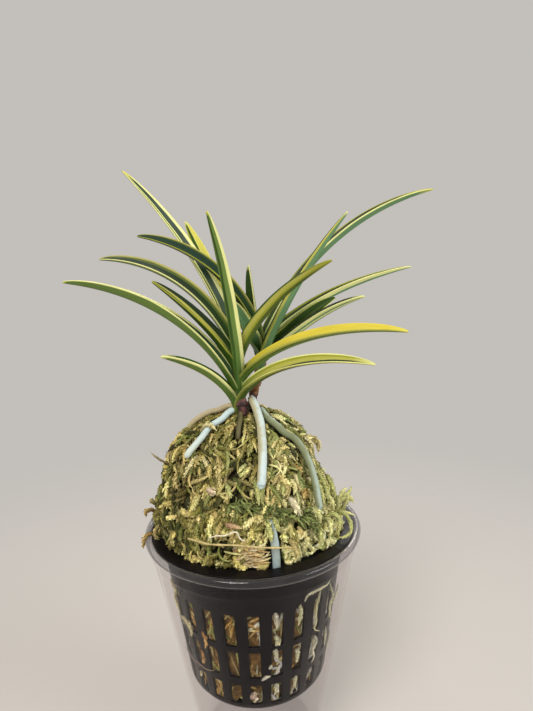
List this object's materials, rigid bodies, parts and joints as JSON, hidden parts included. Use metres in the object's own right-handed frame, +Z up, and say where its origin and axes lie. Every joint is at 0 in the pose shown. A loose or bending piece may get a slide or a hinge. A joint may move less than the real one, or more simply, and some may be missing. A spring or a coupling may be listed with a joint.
{
  "type": "potted wind orchid",
  "caption": "Variegated wind orchid with fans of strap leaves and silvery roots, on a tall moss mound in a black net pot inside a clear tapered cup.",
  "frame": {"origin": "centre of the clear cup's base, on the surface it stands on", "axes": "+Z up, +X to the right and -Y towards the viewer in the picture"},
  "size_m": [0.1513, 0.092, 0.2549],
  "materials": {
    "clear_plastic": "gloss",
    "black_plastic": "gloss",
    "moss": "matte",
    "stem": "satin",
    "leaf": "satin",
    "root": "matte"
  },
  "bodies": {
    "root": {"clear_cup": "clear_plastic", "net_pot": "black_plastic", "moss": "moss", "front_stem": "stem", "rear_stem": "stem", "front_leaf_01": "leaf", "front_leaf_02": "leaf", "front_leaf_03": "leaf", "front_leaf_04": "leaf", "front_leaf_05": "leaf", "front_leaf_06": "leaf", "front_leaf_07": "leaf", "front_leaf_08": "leaf", "front_leaf_09": "leaf", "front_leaf_10": "leaf", "rear_leaf_01": "leaf", "rear_leaf_02": "leaf", "rear_leaf_03": "leaf", "rear_leaf_04": "leaf", "rear_leaf_05": "leaf", "rear_leaf_06": "leaf", "rear_leaf_07": "leaf", "rear_leaf_08": "leaf", "root_01": "root", "root_02": "root", "root_03": "root", "root_04": "root", "root_05": "root", "root_stub": "root"}
  },
  "joints": []
}
